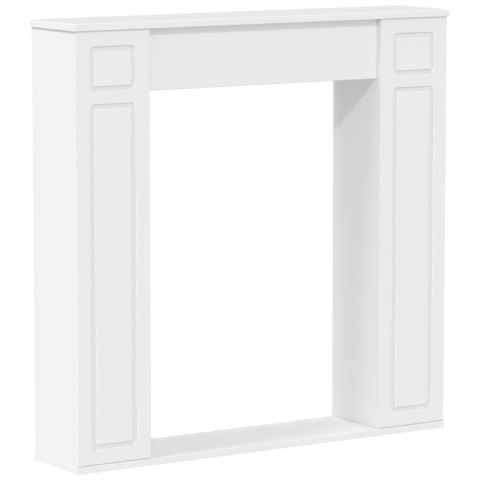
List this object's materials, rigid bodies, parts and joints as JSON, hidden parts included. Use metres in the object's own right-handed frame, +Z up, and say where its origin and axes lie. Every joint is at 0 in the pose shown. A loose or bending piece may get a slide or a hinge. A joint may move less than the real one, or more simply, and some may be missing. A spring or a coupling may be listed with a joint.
{
  "type": "fireplace mantelpiece",
  "caption": "White board-built fireplace surround: shelf and bottom board, hollow pilasters with routed groove frames, and a frieze set back between them.",
  "frame": {"origin": "middle of the footprint, on the floor: the underside of the bottom board, halfway along the width and halfway between the shelf's front edge and the back", "axes": "+X along the width to the right as seen from the room, +Y towards the wall behind, +Z up"},
  "size_m": [1.016, 0.2, 1],
  "materials": {
    "white_lacquered_board": "satin white lacquer on dense fibreboard"
  },
  "bodies": {
    "root": {"top_shelf": "white_lacquered_board", "bottom_board": "white_lacquered_board", "left_pilaster_front": "white_lacquered_board", "right_pilaster_front": "white_lacquered_board", "left_outer_side": "white_lacquered_board", "right_outer_side": "white_lacquered_board", "left_inner_side": "white_lacquered_board", "right_inner_side": "white_lacquered_board", "frieze_panel": "white_lacquered_board"}
  },
  "joints": []
}
